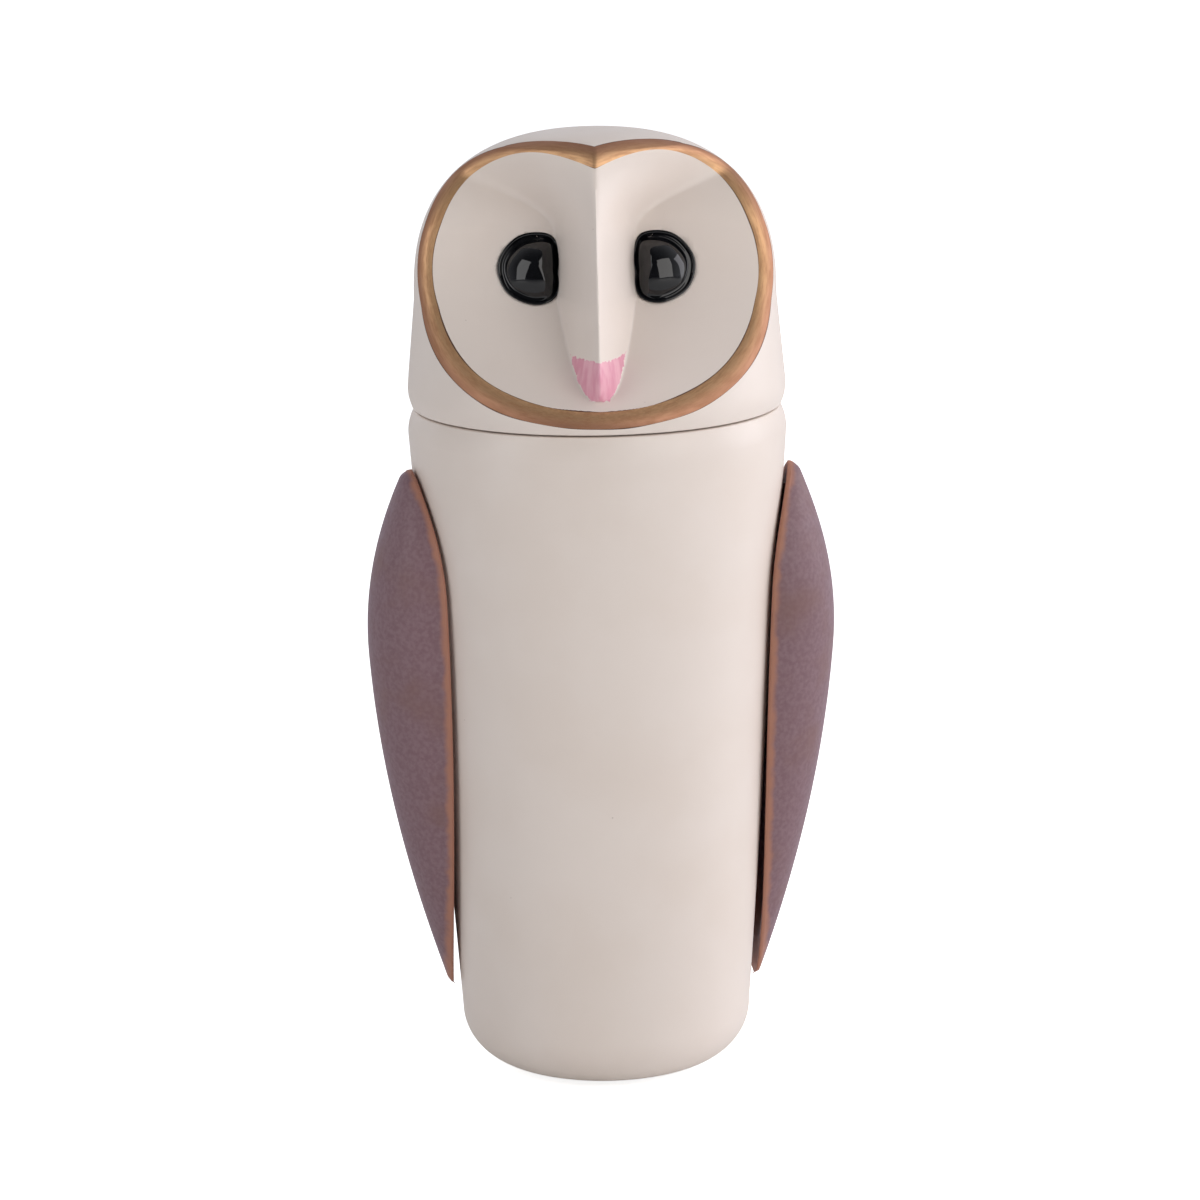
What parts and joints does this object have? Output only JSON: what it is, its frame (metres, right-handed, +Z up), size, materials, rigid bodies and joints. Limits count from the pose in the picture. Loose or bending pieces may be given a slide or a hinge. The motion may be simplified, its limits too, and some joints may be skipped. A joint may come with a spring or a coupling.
{
  "type": "owl figurine",
  "caption": "Ceramic barn owl jar: a hollow tapering body, a lift-off head that turns on a plug and seal, and two shell wings hung on pegs.",
  "frame": {"origin": "centre of the felt pad's underside, on the surface the owl stands on", "axes": "+Z up, -Y the way the body faces; left and right are as seen from the front, so the left wing is on -X"},
  "size_m": [0.1226, 0.0984, 0.2489],
  "materials": {
    "cream_glaze": "satin cream glaze, with a painted gold band and a pink beak on the head",
    "eye_black": "high gloss black glaze",
    "wing_glaze": "matt mauve glaze that breaks to terracotta along the rims",
    "bisque": "unglazed fired clay",
    "silicone": "translucent white silicone",
    "rubber": "black rubber",
    "felt": "dark felt"
  },
  "bodies": {
    "body": {"body_vessel": "cream_glaze", "base_pad": "felt", "left_grommet_upper": "rubber", "left_grommet_lower": "rubber", "right_grommet_upper": "rubber", "right_grommet_lower": "rubber"},
    "seal": {"lid_seal": "silicone"},
    "head": {"head_lid": "cream_glaze", "left_eye": "eye_black", "right_eye": "eye_black"},
    "wing_left": {"left_wing": "wing_glaze", "left_wing_peg_upper": "bisque", "left_wing_peg_lower": "bisque"},
    "wing_right": {"right_wing": "wing_glaze", "right_wing_peg_upper": "bisque", "right_wing_peg_lower": "bisque"}
  },
  "joints": [
    {"name": "head_lift", "type": "slide", "parent": "body", "child": "seal", "axis": [0, 0, 1], "range_m": [0, 0.09]},
    {"name": "head_turn", "type": "hinge", "parent": "seal", "child": "head", "pos_m": [0, 0, 0.1775], "axis": [0, 0, 1], "continuous": true},
    {"name": "left_wing_pull", "type": "slide", "parent": "body", "child": "wing_left", "axis": [-1, 0, 0], "range_m": [0, 0.03]},
    {"name": "right_wing_pull", "type": "slide", "parent": "body", "child": "wing_right", "axis": [1, 0, 0], "range_m": [0, 0.03]}
  ]
}
